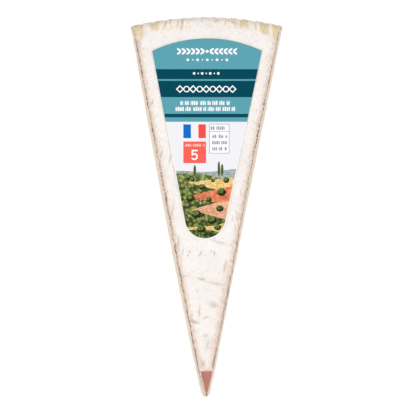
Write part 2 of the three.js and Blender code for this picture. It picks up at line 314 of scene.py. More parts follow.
def make_cheese():
    """Rind and paste as one skin: the lower cap, the wall and the upper cap, all of them a little
    inside the film. skin_depth is the distance in from the nearest rind, for the section's colours,
    and dent is the depth of the small holes."""
    columns = Columns(20, 286, 132)
    keys = ((0, 0), (0.12, 0.5), (0.2, 1.1), (0.29, 2.3), (0.36, 4.2))
    keys += ((0.86, 27.2), (0.94, 29), (1, THICKNESS))
    depth = levels(columns, keys, 13, 32)
    along = columns.share * WEDGE_LENGTH
    level = THICKNESS - depth
    on_rind = np.clip(1.6 - np.minimum(depth, level) / RIND, 0, 1)
    dent = eyes(along, level, columns.mirror) * columns.side
    dent += np.where(columns.nose, 0.3 * np.exp(-((columns.turn / 0.1) ** 2)), 0)
    smear = 0.09 * grain(along, 3.2 * level, 16, 31) * np.clip(depth / 4, 0, 1)
    drift = np.where(columns.mirror > 0, 0.4 * np.sin((along - 85) / 25), 0.65)
    wander = on_rind * (drift + jag(along, columns.mirror))
    seal_gap = np.clip(abs(depth - THICKNESS / 2) / RIDGE_FADE, 0, 1)
    edge = np.where(columns.rim, np.minimum(1, 6 * (1 - abs(columns.turn))), 0)

    def ring(wall_depth, roughness, **more):
        inside_film = FILM_ROOM - FILM_PROUD
        inset = cut_inset(wall_depth) + inside_film + roughness
        return wedge_ring(columns, inset, rim_inset(wall_depth) + inside_film, **more)

    bare_x, bare_y = ring(depth, 0)
    ridges = edge * seal_gap * groove(bare_x)
    pocks = 0.07 * grain(bare_x, 1.5 * level, 4, 37) * columns.rim
    wall_x, wall_y = ring(depth, dent + smear, grooves=ridges + pocks, wander=wander)

    spine_x, spine_y = spine(columns, NOSE_CENTRE, SPINE_END)
    top_x, top_y = cap(wall_x[0], wall_y[0], spine_x, spine_y, 46)
    base_x, base_y = cap(wall_x[-1], wall_y[-1], spine_x, spine_y, 14)
    x = np.concatenate([base_x[::-1], wall_x[::-1], top_x])
    y = np.concatenate([base_y[::-1], wall_y[::-1], top_y])

    def on_caps(wall_values, top_value, base_value):
        """Joins values of the wall with one for each cap."""
        return np.concatenate(
            [np.full(base_x.shape, base_value), wall_values[::-1], np.full(top_x.shape, top_value)]
        )

    height = on_caps(level, THICKNESS, 0.0) / THICKNESS
    bloom = 0.05 * grain(x, y, 3.4, 41, 2) + 0.05 * grain(x, y, 8, 43, 2) - 0.12 * crease(x, y)
    top = THICKNESS - 0.1 + lift(x, y) + bloom
    base = 0.2 - 0.1 * crease(x, -y)
    z = base + (top - base) * height

    rim_distance = from_rim(wall_x - bow(wall_y), wall_y) - rim_inset(depth)
    section = np.where(columns.side, rim_distance, 99)
    section = np.minimum(np.minimum(depth, level), np.maximum(section, 0))
    section = np.where(columns.rim, 0, section)
    return skin(
        "cheese", x, y, z,
        skin_depth=on_caps(section, 0.0, 0.0),
        bow=bow(y),
        dent=on_caps(np.broadcast_to(dent, depth.shape), 0.0, 0.0),
    )


def make_film():
    """The clear film as one skin, drawn over the hollows of the cheese. Wrinkles run down the wall
    from the taut seal, fan out from the corners, and pleat round the nose. seal is 1 on the seal's
    flange and 0 elsewhere."""
    columns = Columns(28, 230, 132)
    half = THICKNESS / 2
    keys = ((0, 0), (0.08, 0.4), (0.16, 1.1), (0.24, 2.8), (0.32, 5.5), (0.46, half - 1.2))
    keys += ((0.48, half - SEAL_THICKNESS), (0.52, half + SEAL_THICKNESS), (0.54, half + 1.2))
    keys += ((0.7, 24.5), (0.84, 28), (0.92, 29.4), (1, THICKNESS))
    depth = levels(columns, keys, 11, 28)
    nearest = np.argmin(abs(depth[:, 0] - half))
    depth[nearest - 1 : nearest + 2] = half + SEAL_THICKNESS * np.array([[-0.5], [0], [0.5]])
    along = columns.share * WEDGE_LENGTH
    level = THICKNESS - depth

    flange = np.zeros_like(depth)
    flange[nearest - 1 : nearest + 2] = [[0.25], [1], [0.25]]
    trim = 1 + 0.3 * grain(along, 30 * columns.turn, 7, 61)
    taut = np.exp(-abs(depth - half) / 4.5)
    pleats = 0.11 * grain(along + 60 * columns.turn, 0.12 * depth, 2.4, 67) * taut
    slack = 0.05 * grain(along, 0.5 * depth, 9, 71)
    round_nose = 0.12 * np.cos(9 * columns.turn * math.pi) * np.where(columns.nose, 1, 0)
    outwards = flange * SEAL_HEIGHT * trim
    wall_x, wall_y = wedge_ring(
        columns,
        cut_inset(depth) - FILM_PROUD - outwards + pleats + slack + round_nose,
        rim_inset(depth) - FILM_PROUD - outwards + 0.6 * pleats + slack,
    )
    spine_x, spine_y = spine(columns, NOSE_CENTRE, SPINE_END)
    top_x, top_y = cap(wall_x[0], wall_y[0], spine_x, spine_y, 40)
    base_x, base_y = cap(wall_x[-1], wall_y[-1], spine_x, spine_y, 3)
    x = np.concatenate([base_x[::-1], wall_x[::-1], top_x])
    y = np.concatenate([base_y[::-1], wall_y[::-1], top_y])
    height = np.concatenate(
        [np.zeros(base_x.shape), level[::-1] / THICKNESS, np.ones(top_x.shape)]
    )
    from_corner_x, from_corner_y = abs(x) - FAN_MIDDLE_X, y - FAN_MIDDLE_Y
    fan = np.sin(np.arctan2(from_corner_y, from_corner_x) * 26)
    fan *= np.exp(-np.hypot(from_corner_x, from_corner_y) / 5)
    tension = 0.03 * fan + 0.03 * grain(x, 0.35 * y, 5, 73, 2)
    top = THICKNESS + 0.1 + lift(x, y, 0.35) + tension
    on_flange = np.concatenate([np.zeros(base_x.shape), flange[::-1], np.zeros(top_x.shape)])
    return skin("clear_film", x, y, top * height, seal=on_flange)


def fan_ring(columns):
    """Plan points of the label's outline: a round lower end, two straight sides that touch it, and
    an arc across the top, all turned a little."""
    end_centre = LABEL_END + LABEL_END_RADIUS
    reach = math.hypot(LABEL_HALF_WIDTH, LABEL_SHOULDER - end_centre)
    spread = math.atan2(LABEL_HALF_WIDTH, LABEL_SHOULDER - end_centre)
    spread -= math.asin(LABEL_END_RADIUS / reach)
    rise = LABEL_TOP - LABEL_SHOULDER
    top_radius = (LABEL_HALF_WIDTH**2 + rise**2) / (2 * rise)
    top_angle = columns.turn * math.asin(LABEL_HALF_WIDTH / top_radius)
    end_angle = columns.turn * (math.pi / 2 - spread)
    touch_x = LABEL_END_RADIUS * math.cos(spread)
    touch_y = end_centre - LABEL_END_RADIUS * math.sin(spread)
    x = np.select(
        [columns.nose, columns.rim],
        [LABEL_END_RADIUS * np.sin(end_angle), top_radius * np.sin(top_angle)],
        (touch_x + (LABEL_HALF_WIDTH - touch_x) * columns.share) * columns.mirror,
    )
    y = np.select(
        [columns.nose, columns.rim],
        [end_centre - LABEL_END_RADIUS * np.cos(end_angle),
         LABEL_TOP - top_radius * (1 - np.cos(top_angle))],
        touch_y + (LABEL_SHOULDER - touch_y) * columns.share,
    )
    return x + LABEL_TURN * (y - LABEL_MIDDLE), y


def tab_ring(columns):
    """Plan points of the tab's outline, a blunt triangle."""
    half_width = TAB_TIP_HALF_WIDTH + (TAB_TOP_HALF_WIDTH - TAB_TIP_HALF_WIDTH) * columns.share
    y = TAB_TIP + (TAB_TOP - TAB_TIP) * columns.share
    return TAB_MIDDLE + half_width * columns.turn, y


def make_sheet(name, columns, ring, turn, first, last, rows, curl):
    """A thin sheet on the film: its outline's ring below and above, and caps that follow the rind.
    The edge of the paper lifts by curl. edge_distance is the distance in from the outline."""
    rim_x, rim_y = ring(columns)
    spine_x, spine_y = spine(columns, first, last)
    spine_x = turn * (spine_y - LABEL_MIDDLE)
    cap_x, cap_y = cap(rim_x, rim_y, spine_x, spine_y, rows)
    face_x, face_y = np.vstack([rim_x, cap_x]), np.vstack([rim_y, cap_y])
    inside = np.hypot(face_x - rim_x, face_y - rim_y)
    bed = THICKNESS + LABEL_RISE + lift(face_x, face_y, 0.35) + curl * np.exp(-inside / 1.6)
    x, y = np.vstack([face_x[::-1], face_x]), np.vstack([face_y[::-1], face_y])
    z = np.vstack([bed[::-1], bed + PAPER])
    piece = skin(name, x, y, z, edge_distance=np.vstack([inside[::-1], inside]))
    piece.data.set_sharp_from_angle(angle=math.radians(50))
    return piece


# Materials

def paint(red, green, blue):
    """The linear colour of a colour given as three display values from 0 to 255."""
    return tuple(
        v / 12.92 if v <= 0.04045 else ((v + 0.055) / 1.055) ** 2.4
        for v in (red / 255, green / 255, blue / 255)
    ) + (1.0,)


class Wire:
    """A shader socket. Those that carry one number take Python's arithmetic."""

    def __init__(self, look, socket):
        self.look, self.socket = look, socket

    def __add__(self, other):
        return self.look.maths("ADD", self, other)

    __radd__ = __add__

    def __sub__(self, other):
        return self.look.maths("SUBTRACT", self, other)

    def __rsub__(self, other):
        return self.look.maths("SUBTRACT", other, self)

    def __mul__(self, other):
        return self.look.maths("MULTIPLY", self, other)

    __rmul__ = __mul__

    def __truediv__(self, other):
        return self.look.maths("DIVIDE", self, other)

    def __abs__(self):
        return self.look.maths("ABSOLUTE", self)

    def __lt__(self, other):
        return self.look.maths("LESS_THAN", self, other)

    def __gt__(self, other):
        return self.look.maths("GREATER_THAN", self, other)


class Look:
    """A material under construction, with the nodes that its expressions ask for."""

    def __init__(self, name):
        self.material = bpy.data.materials.new(name)
        self.material.use_nodes = True
        self.tree = self.material.node_tree
        self.tree.nodes.clear()
        coordinates = self.node("ShaderNodeTexCoord", output="Object")
        scale = {"operation": "SCALE"}
        self.point = self.node("ShaderNodeVectorMath", scale, {0: coordinates, "Scale": 1 / MM})
        self.x, self.y, self.z = (
            self.node("ShaderNodeSeparateXYZ", {}, {0: self.point}, output=i) for i in range(3)
        )

    def node(self, kind, settings=(), inputs=(), output=0):
        """Adds a node: first its settings, then the values or links of its sockets. Gives one of
        its outputs, or the node itself if it has none."""
        made = self.tree.nodes.new(kind)
        for key, value in dict(settings).items():
            setattr(made, key, value)
        for key, value in dict(inputs).items():
            if isinstance(value, Wire):
                self.tree.links.new(value.socket, made.inputs[key])
            else:
                made.inputs[key].default_value = value
        return Wire(self, made.outputs[output]) if made.outputs else made

    def maths(self, operation, *values):
        """One Math node."""
        return self.node("ShaderNodeMath", {"operation": operation}, enumerate(values))

    def higher(self, first, second):
        """The higher of two numbers."""
        return self.maths("MAXIMUM", first, second)

    def within(self, value, low, high):
        """1 between two bounds and 0 elsewhere."""
        return self.maths("COMPARE", value, (low + high) / 2, (high - low) / 2)

    def rise(self, value, start, end):
        """0 up to start and 1 from end on, smooth between them."""
        inputs = {"Value": value, "From Min": start, "From Max": end}
        return self.node("ShaderNodeMapRange", {"interpolation_type": "SMOOTHSTEP"}, inputs)

    def fall(self, value, start, end):
        """1 up to start and 0 from end on, smooth between them."""
        inputs = {"Value": value, "From Min": start, "From Max": end, "To Min": 1.0, "To Max": 0.0}
        return self.node("ShaderNodeMapRange", {"interpolation_type": "SMOOTHSTEP"}, inputs)

    def mix(self, first, second, factor):
        """A colour between two."""
        inputs = {0: factor, 6: first, 7: second}
        return self.node("ShaderNodeMix", {"data_type": "RGBA"}, inputs, output=2)

    def stretched(self, x, y, z=0.0, turn=0.0):
        """The point with its axes scaled and turned about Z, for grain that runs one way."""
        settings = {"vector_type": "POINT"}
        inputs = {"Vector": self.point, "Rotation": (0, 0, turn), "Scale": (x, y, z)}
        return self.node("ShaderNodeMapping", settings, inputs)

    def spot(self, at, x, y, half_width, half_height, turn):
        """Distance from the middle of an oval, 1 on its edge. turn is in radians."""
        inputs = {"Vector": at, "Location": (x, y, 0), "Rotation": (0, 0, turn)}
        inputs["Scale"] = (half_width, half_height, 1e5)
        oval = self.node("ShaderNodeMapping", {"vector_type": "TEXTURE"}, inputs)
        return self.node("ShaderNodeVectorMath", {"operation": "LENGTH"}, {0: oval}, output="Value")

    def noise(self, scale, detail=2.0, roughness=0.5, at=None):
        """Noise from 0 to 1, of that many waves a millimetre."""
        inputs = {"Vector": at or self.point, "Scale": scale, "Detail": detail, "Roughness": roughness}
        return self.node("ShaderNodeTexNoise", {}, inputs)

    def cells(self, scale):
        """Distance from the middle of the nearest of many cells, of that many a millimetre."""
        return self.node("ShaderNodeTexVoronoi", {}, {"Vector": self.point, "Scale": scale})

    def attribute(self, name):
        """A number kept on the mesh."""
        return self.node("ShaderNodeAttribute", {"attribute_name": name}, output="Fac")

    def bump(self, height, distance, strength):
        """A normal disturbed by a height from 0 to 1 that stands for a distance in millimetres."""
        inputs = {"Height": height, "Distance": distance * MM, "Strength": strength}
        return self.node("ShaderNodeBump", {}, inputs)

    def surface(self, **sockets):
        """Ends the material with a Principled shader. Underscores stand for spaces."""
        inputs = {key.replace("_", " "): value for key, value in sockets.items()}
        shader = self.node("ShaderNodeBsdfPrincipled", {}, inputs)
        self.node("ShaderNodeOutputMaterial", {}, {"Surface": shader})
        return self.material


# Places along the rim where the white bloom is rubbed off: middle, half width and reach in
RUBBED = ((-32.4, 2.8, 5.6), (-24.2, 2.2, 3.6), (17.8, 2.1, 3.4), (27.4, 2.2, 4.4), (33.7, 2.5, 6.6))

# Places where it is only brushed with fine streaks
BRUSHED = ((-14.6, 5.6, 4.5), (2.6, 4.6, 1.6), (11.4, 3.2, 3.0), (23.2, 1.8, 3.4), (-28.6, 1.0, 2.0))

# Streaks, dashes and smudges on the bloom: place, half length, half width, direction in degrees
# and strength. Warm ones run in from the rim and grey ones lie all over.
WARM = (
    (-25.8, 85.4, 1.9, 0.35, 84, 0.9), (-22.9, 85.3, 1.6, 0.4, 98, 0.8), (-19.4, 86.0, 3.0, 0.4, 74, 0.9),
    (-17.0, 87.9, 1.9, 0.35, 82, 0.8), (-13.6, 86.3, 2.6, 0.3, 84, 0.8), (-11.3, 86.2, 3.3, 0.5, 85, 1.0),
    (4.8, 88.0, 1.4, 0.7, 10, 0.7), (10.6, 88.3, 1.2, 0.5, 120, 0.6), (12.7, 87.2, 1.5, 0.7, 150, 0.8),
    (16.3, 85.9, 1.7, 0.3, 97, 0.7), (19.3, 85.6, 1.8, 0.35, 92, 0.8), (23.0, 85.4, 2.0, 0.3, 98, 0.8),
    (26.6, 82.9, 1.8, 0.4, 95, 0.8), (28.6, 82.6, 1.7, 0.4, 90, 0.8),
    (-31.2, 79.0, 6.5, 1.3, 80, 0.35), (14.4, -15.5, 3.4, 0.9, 79, 0.35), (13.3, -23.0, 4.0, 0.8, 79, 0.3),
)
GREY = (
    (-13.1, -17.0, 3.4, 0.6, 84, 0.6), (-11.2, -21.3, 3.6, 0.4, 80, 0.6), (-8.1, -20.9, 1.1, 0.5, -20, 0.7),
    (-8.6, -22.5, 1.0, 0.5, 70, 0.7), (-2.8, -21.9, 1.9, 0.5, 62, 0.7), (2.5, -20.8, 1.3, 0.4, -8, 0.7),
    (3.9, -21.7, 1.4, 0.5, 75, 0.8), (6.5, -16.6, 6.0, 0.8, -17, 0.4), (-2.2, -33.9, 2.2, 0.7, -12, 0.8),
    (4.7, -36.0, 5.0, 0.9, -12, 0.5), (-9.8, -32.4, 1.6, 0.8, 0, 0.4), (-4.0, -39.4, 1.1, 0.4, 80, 0.4),
    (3.6, -46.0, 2.8, 1.6, -20, 0.6), (-3.2, -49.0, 3.4, 0.6, 88, 0.7), (-5.8, -53.9, 3.0, 0.9, -20, 0.8),
    (-0.2, -51.9, 1.5, 0.5, 15, 0.6), (-6.8, -51.2, 1.1, 0.7, 60, 0.5), (8.8, -28.0, 3.0, 0.8, 78, 0.7),
    (-0.3, -60.6, 1.6, 0.8, 0, 0.5), (0.6, -65.0, 4.0, 0.6, 76, 0.6), (-1.6, -73.8, 1.9, 1.4, 90, 0.8),
    (0.4, -64.0, 5.0, 3.6, 90, 0.22), (-6.9, -63.6, 1.0, 0.6, 50, 1.0), (6.0, -65.0, 0.8, 0.5, 40, 0.8),
    (7.0, -56.0, 5.0, 0.7, 80, 0.4),
    (16.3, 7.2, 2.4, 0.4, 82, 0.6), (18.3, 6.4, 1.8, 0.5, 80, 0.6), (14.5, -4.4, 2.6, 0.4, 82, 0.6),
    (12.3, -5.4, 1.4, 0.4, 82, 0.5), (13.6, -9.8, 1.8, 0.4, 82, 0.5), (-25.6, 49.2, 1.6, 0.5, 68, 0.9),
    (-21.2, 25.2, 2.6, 0.8, 80, 0.6), (-17.0, 23.0, 3.0, 0.6, 78, 0.7), (-15.8, -1.0, 6.0, 0.6, 80, 0.5),
)


def marks(look, table, velvet):
    """A mask of a table's marks, crooked and ragged: ovals whose points a noise has shifted."""
    ripples = look.node("ShaderNodeTexNoise", {}, {"Vector": look.point, "Scale": 0.7}, output="Color")
    shift = {0: ripples, 1: (1.4, 1.4, 1.4), 2: (-0.7, -0.7, -0.7)}
    shift = look.node("ShaderNodeVectorMath", {"operation": "MULTIPLY_ADD"}, shift)
    rippled = look.node("ShaderNodeVectorMath", {"operation": "ADD"}, {0: look.point, 1: shift})
    mask = 0.0
    for at_x, at_y, half_length, half_width, turn, strength in table:
        away = look.spot(rippled, at_x, at_y, half_length, half_width, math.radians(turn))
        mask = look.higher(look.fall(away + 2.0 * velvet, 1.0, 2.4) * strength, mask)
    return mask


def mat_lines(look):
    """A mask of the draining mat's lines, which repeat at a pitch, wander and break off."""
    wander = look.noise(0.036, 2, 0.5)
    run = look.y + CREASE_TILT * look.x + (wander - 0.5) * 3 - CREASE_START + CREASE_PITCH * 10
    off_line = abs(look.maths("MODULO", run + CREASE_PITCH / 2, CREASE_PITCH) - CREASE_PITCH / 2)
    return look.fall(off_line, 0.15, 0.9) * look.rise(look.noise(0.22, 3, 0.6), 0.45, 0.62)


def plain_bloom(look, patch, velvet):
    """The white bloom, cream in patches, flushed and scratched along the cut edges, with painted shade on
    the rounded edge of the rind.
    """
    from_cut = (look.y - APEX) * SIN - abs(look.x - look.attribute("bow")) * COS
    cloud = look.noise(0.05, 3, 0.6)
    bloom = look.mix(paint(249, 246, 243), paint(245, 240, 237), look.rise(cloud, 0.38, 0.62))
    bloom = look.mix(bloom, paint(251, 240, 228), look.rise(patch, 0.5, 0.7) * 0.6)
    fringe = look.fall(from_cut + 3.2 * patch + look.rise(look.y, -60, 30) * 1.2, 3.8, 7.2)
    along_edge = look.noise(0.11, 3, 0.6)
    flush = look.mix(paint(252, 238, 222), paint(246, 220, 212), look.rise(along_edge, 0.42, 0.58))
    bloom = look.mix(bloom, flush, fringe * look.rise(velvet, 0.2, 0.6) * 0.85)
    ticks = look.noise(1.0, 3, 0.6, look.stretched(1.5, 0.4, 0.3, 0.3))
    # Painted shade: a tan band inside the cut edge, broken by noise, stands for the shade on the rind's
    # rounded edge.
    edge_shade = look.fall(from_cut + 3.4 * ticks, 3.2, 6.0) * look.rise(velvet + ticks, 0.75, 1.1)
    bloom = look.mix(bloom, paint(212, 188, 168), edge_shade * 0.85)
    scratched = look.rise(ticks, 0.54, 0.6) * look.fall(from_cut + 5 * patch, 5.8, 8.2)
    return look.mix(bloom, paint(206, 184, 166), scratched * 0.6)


def rubbed_rim(look, bloom, from_rim_edge, patch, velvet):
    """The bloom with the rim's rubbed and brushed places, its streaks and its tan edge."""
    ragged = look.noise(1.0, 3, 0.6, look.stretched(1.5, 0.2, 0.3))
    speckle = look.noise(1.4, 4, 0.7)
    high = look.rise(look.z + 6 * patch, 21, 30)
    rubbed, halo = 0.0, 0.0
    for middle, half_width, reach in RUBBED:
        across = look.fall(abs(look.x - middle) + 1.8 * ragged, half_width + 0.4, half_width + 1.1)
        deep = look.fall(from_rim_edge - 7.0 * ragged + 3.2, reach, reach + 0.8)
        rubbed = look.higher(across * deep * high, rubbed)
    for middle, half_width, reach in RUBBED + BRUSHED:
        around = look.fall(abs(look.x - middle), half_width, half_width + 2.0)
        halo = look.higher(around * look.fall(from_rim_edge, reach, reach + 3) * high, halo)
    streaks = look.noise(1.0, 3, 0.6, look.stretched(1.1, 0.18, 0.3, -0.12))
    fine_streaks = look.rise(streaks, 0.53, 0.62)
    faint = look.rise(speckle, 0.54, 0.66) * look.fall(from_rim_edge, 0.4, 2.4) * high
    contour = look.fall(from_rim_edge, 0.3, 1.1) * look.rise(patch, 0.4, 0.55) * high
    olive = look.mix(paint(236, 220, 184), paint(214, 194, 152), look.rise(speckle, 0.4, 0.65))
    bloom = look.mix(bloom, paint(253, 240, 222), halo * 0.75)
    bloom = look.mix(bloom, paint(226, 208, 190), fine_streaks * halo * 0.8)
    bloom = look.mix(bloom, paint(232, 216, 204), look.higher(contour * 0.6, faint * 0.7))
    bloom = look.mix(bloom, paint(192, 166, 142), marks(look, WARM, velvet))
    return look.mix(bloom, olive, rubbed * look.rise(speckle, 0.15, 0.3))


def cut_rind(look, bloom, depth, breaks, from_rim_edge):
    """The section of the rind: tan, then a brown line of uneven strength: the brown layer under the
    rind, darkened as painted shade of the crevice between rind and paste. The line breaks off in
    places, at the nose, and at the upper ends of the rim."""
    stretches = look.noise(0.16, 3, 0.6)
    rind = look.mix(bloom, paint(228, 200, 182), look.rise(depth, -0.1, 0.5))
    strength = look.rise(breaks + stretches, 0.88, 1.15)
    # The brown line: the layer under the rind, partly painted shade of the crevice between rind and paste.
    brown = look.mix(paint(206, 176, 152), paint(112, 82, 62), strength)
    plain_end = look.higher(look.rise(from_rim_edge, 1.0, 4.0), look.fall(look.z, 22, 27))
    edge = plain_end * look.rise(look.y, -85, -77) * look.rise(breaks, 0.34, 0.46)
    return look.mix(rind, brown, look.rise(depth, 0.3, 0.75) * edge)


def paste_colour(look, section):
    """Ivory paste, tan near the rind, with painted shade in the small holes."""
    curd = look.noise(0.5, 5, 0.6, look.stretched(1, 1, 2.2))
    hue = look.noise(0.06, 2, 0.5)
    paste = look.mix(paint(250, 236, 212), paint(244, 225, 196), look.rise(curd, 0.35, 0.7))
    paste = look.mix(paste, paint(247, 233, 200), look.rise(hue, 0.5, 0.7) * 0.6)
    paste = look.mix(paste, paint(242, 221, 202), look.fall(section, 1.5, 7.0) * 0.85)
    # Painted shade: the small holes are darkened in the colour.
    hole = look.rise(look.attribute("dent") + 0.25 * curd, 0.2, 0.6)
    return look.mix(paste, paint(226, 196, 156), hole * 0.6)


def cheese_look():
    """White bloom on the rinds and rim, with the mat's lines, faint strokes and grey marks, and
    rubbed tan along the rim; a tan section of rind at the cut faces, edged by a brown line that is
    partly painted shade; ivory paste; and a dark line at the tip of the nose, painted as the shadow
    of the film's pleat."""
    look = Look("cheese")
    section = look.attribute("skin_depth")
    rim_x = look.maths("POWER", look.x, 2.0)
    rim_y = look.maths("POWER", look.y - RIM_CENTRE, 2.0)
    from_rim_edge = RIM_RADIUS - look.maths("SQRT", rim_x + rim_y)
    patch = look.noise(0.35, 4, 0.6)
    velvet = look.noise(2.2, 5, 0.65)

    line = mat_lines(look)
    bloom = look.mix(plain_bloom(look, patch, velvet), paint(232, 226, 220), line * 0.5)
    strokes = look.noise(1.0, 2, 0.5, look.stretched(1.1, 0.24, 0.2, 0.2))
    cluster = look.rise(look.noise(0.07, 2, 0.5, look.stretched(1, 1, 1, 0.9)), 0.5, 0.62)
    bloom = look.mix(bloom, paint(220, 214, 206), look.rise(strokes, 0.66, 0.76) * cluster * 0.7)
    bloom = look.mix(bloom, paint(184, 172, 156), marks(look, GREY, velvet))
    bloom = rubbed_rim(look, bloom, from_rim_edge, patch, velvet)

    breaks = look.noise(0.8, 3, 0.6, look.stretched(1, 1, 0.4))
    depth = section + (breaks - 0.5) * 0.7
    rind = cut_rind(look, bloom, depth, breaks, from_rim_edge)
    colour = look.mix(rind, paste_colour(look, section), look.rise(depth, 1.05, 1.55))
    # Painted shadow: a dark line at the tip of the nose stands for the shade in the film's pleat there.
    pleat_shadow = look.fall(look.spot(look.point, 0.2, -88.3, 1.5, 0.35, math.pi / 2), 0.5, 1.2)
    colour = look.mix(colour, paint(116, 92, 70), pleat_shadow * 0.9)

    on_paste = look.rise(section, 1.2, 2.2)
    height = velvet * 0.6 + look.noise(0.9, 3, 0.5) * 0.4 + line * -0.5
    return look.surface(
        Base_Color=colour,
        Roughness=0.85 - 0.45 * on_paste,
        Normal=look.bump(height, 0.16, 0.8),
        Specular_IOR_Level=0.3,
    )


def film_look():
    """Clear film: a mirror as strong as the surface's reflection, milky on the seal."""
    look = Look("clear_film")
    seal = look.attribute("seal")
    facing = look.node("ShaderNodeLayerWeight", {}, {"Blend": 0.5}, output="Facing")
    gloss = 0.05 + 0.3 * look.maths("POWER", facing, 4.0)
    wrinkle = look.noise(0.5, 3, 0.55, look.stretched(1, 1, 0.3))
    return look.surface(
        Base_Color=(1.0, 1.0, 1.0, 1.0),
        Metallic=1.0,
        Roughness=0.08 + 0.25 * seal,
        Alpha=look.maths("MINIMUM", gloss + 0.3 * look.rise(seal, 0.1, 0.8), 1.0),
        Normal=look.bump(wrinkle, 0.25, 0.6),
    )


# The label's print, in the same millimetres as the wedge
WHITE = paint(250, 251, 251)
TEAL_EDGE = 40.3  # the teal field lies above it
DARK_BANDS = ((60.4, 65.1), (51.9, 59.6), (42.4, 44.05))  # lower and upper edges
BORDER = 0.35

# Crest, fall, height and length of its waves, light and shade, and whether trees cover it
FIELDS = (
    (17.2, 0.03, 0.5, 5.0, (176, 187, 186), (136, 150, 146), False),
    (15.0, -0.10, 0.6, 4.0, (180, 186, 118), (78, 94, 54), True),
    (12.6, 0.06, 0.4, 6.0, (248, 218, 150), (208, 160, 86), False),
    (9.6, -0.16, 0.5, 5.0, (156, 168, 92), (52, 66, 36), True),
    (7.0, 0.20, 0.4, 7.0, (240, 150, 110), (186, 84, 56), False),
    (3.2, -0.10, 0.5, 4.5, (158, 168, 90), (54, 62, 36), True),
    (0.6, 0.22, 0.5, 6.0, (240, 192, 156), (196, 120, 86), False),
    (-3.4, -0.18, 0.6, 5.0, (138, 156, 80), (42, 52, 30), True),
    (-8.6, 0.14, 0.4, 4.0, (244, 214, 150), (190, 150, 92), False),
    (-11.0, -0.1, 0.5, 3.0, (120, 140, 70), (38, 48, 28), True),
)

# Place and radius of each round tree, and place and half height of each poplar
TREES = (
    (-8.4, 14.0, 1.5), (-6.6, 13.2, 1.2), (9.4, 12.8, 1.5), (3.2, 12.6, 0.9), (-2.0, 9.6, 1.6),
    (7.2, 7.2, 2.2), (-7.6, 4.4, 2.0), (1.2, 3.6, 1.4), (6.4, -0.6, 1.8), (-4.6, -3.2, 2.3),
    (2.8, -6.0, 2.2), (-2.4, -10.2, 2.0), (5.4, -9.4, 1.7),
)
POPLARS = ((6.0, 18.0, 3.6), (7.5, 17.6, 2.9), (-5.4, 17.6, 2.3))
POPLAR_HALF_WIDTH = 0.62


class Print:
    """Layers of flat colour on a sheet, each one where a mask is 1."""

    def __init__(self, look, colour):
        self.look, self.colour = look, colour
        self.leafy = look.noise(1.6, 4, 0.75)

    def lay(self, colour, mask):
        """Covers what is under a mask."""
        self.colour = self.look.mix(self.colour, colour, mask)

    def box(self, left, right, low, high):
        """A mask of a rectangle."""
        return self.look.within(self.look.x, left, right) * self.look.within(self.look.y, low, high)

    def disc(self, x, y, radius, tall=1.0, turn=0.0, ragged=0.0):
        """A mask of a round or oval spot, with an uneven edge if ragged: it is 1 where the square of
        the distance from the middle is below that of the radius."""
        along, up = self.look.x - x, self.look.y - y
        if turn:
            cos, sin = math.cos(turn), math.sin(turn)
            along, up = along * cos + up * sin, up * cos - along * sin
        if tall != 1.0:
            up = up * (1 / tall)
        reach = radius * radius
        if ragged:
            reach = reach * (1 + ragged * (self.leafy - 0.5))
        return along * along + up * up < reach

    def ring(self, x, y, outer, inner):
        """A mask of a ring."""
        return self.disc(x, y, outer) - self.disc(x, y, inner)

    def dots(self, middle, y, pitch, each_way, even, odd):
        """A row of white dots, of two radii by turns."""
        for i in range(-each_way, each_way + 1):
            self.lay(WHITE, self.disc(pitch * i + middle, y, odd if i % 2 else even))

    def bars(self, left, right, low, high, seed, colour):
        """A row of bars of uneven length, each cut into upright strokes by a sine wave."""
        random = np.random.default_rng(seed)
        start = left
        mask = 0.0
        while start < right - 0.8:
            end = min(start + random.uniform(1.2, 4.2), right)
            mask = self.look.higher(self.look.within(self.look.x, start, end), mask)
            start = end + 0.75
        waves = self.look.maths("SINE", self.look.x * (math.tau / 1.05) + float(seed))
        ragged = self.look.maths("SINE", self.look.x * 2.9 + 2.0 * seed) * 0.25
        strokes = (waves > -0.35) * (self.look.y < high - 0.3 + ragged)
        mask = mask * self.look.within(self.look.y, low, high)
        self.lay(colour, mask * self.look.higher(strokes, 0.3))


def countryside(sheet):
    """Far hills, fields, woods, round trees and poplars, from the far ones to the near ones. A
    field's crest is a sloping sine wave."""
    look = sheet.look
    mottle = look.noise(0.8, 4, 0.65)
    fine = look.noise(2.4, 3, 0.7)
    crowns = look.rise(look.cells(0.55) + 0.6 * fine + 1.3 * mottle, 0.95, 1.75)
    flecks = look.fall(look.cells(0.42) + 0.7 * fine, 0.42, 0.54) * 0.8
    for crest, fall, wave, length, light, shade, wooded in FIELDS:
        top = crest + look.x * fall + look.maths("SINE", look.x / length + crest) * wave
        if wooded:
            tone = look.mix(paint(*light), paint(*shade), crowns)
            tone = look.mix(tone, paint(238, 218, 168), flecks)
        else:
            furrows = look.maths("SINE", (look.y - look.x * fall * 1.6) * 6.0) * 0.07
            worked = look.rise(mottle + 0.5 * fine + furrows, 0.6, 0.95)
            tone = look.mix(paint(*light), paint(*shade), worked)
        sheet.lay(tone, look.y < top)
    for x, y, radius in TREES:
        sheet.lay(paint(34, 44, 26), sheet.disc(x, y, radius, tall=0.85, ragged=1.8))
        lit_x, lit_y = x - 0.25 * radius, y + 0.3 * radius
        lit = sheet.disc(lit_x, lit_y, 0.75 * radius, tall=0.8, ragged=2.4)
        sheet.lay(paint(124, 150, 72), lit * look.rise(fine, 0.44, 0.54))
    for x, y, half_height in POPLARS:
        tall = half_height / POPLAR_HALF_WIDTH
        mask = sheet.disc(x, y, POPLAR_HALF_WIDTH, tall=tall, ragged=0.8)
        sheet.lay(look.mix(paint(44, 58, 32), paint(96, 118, 60), look.rise(fine, 0.4, 0.6)), mask)


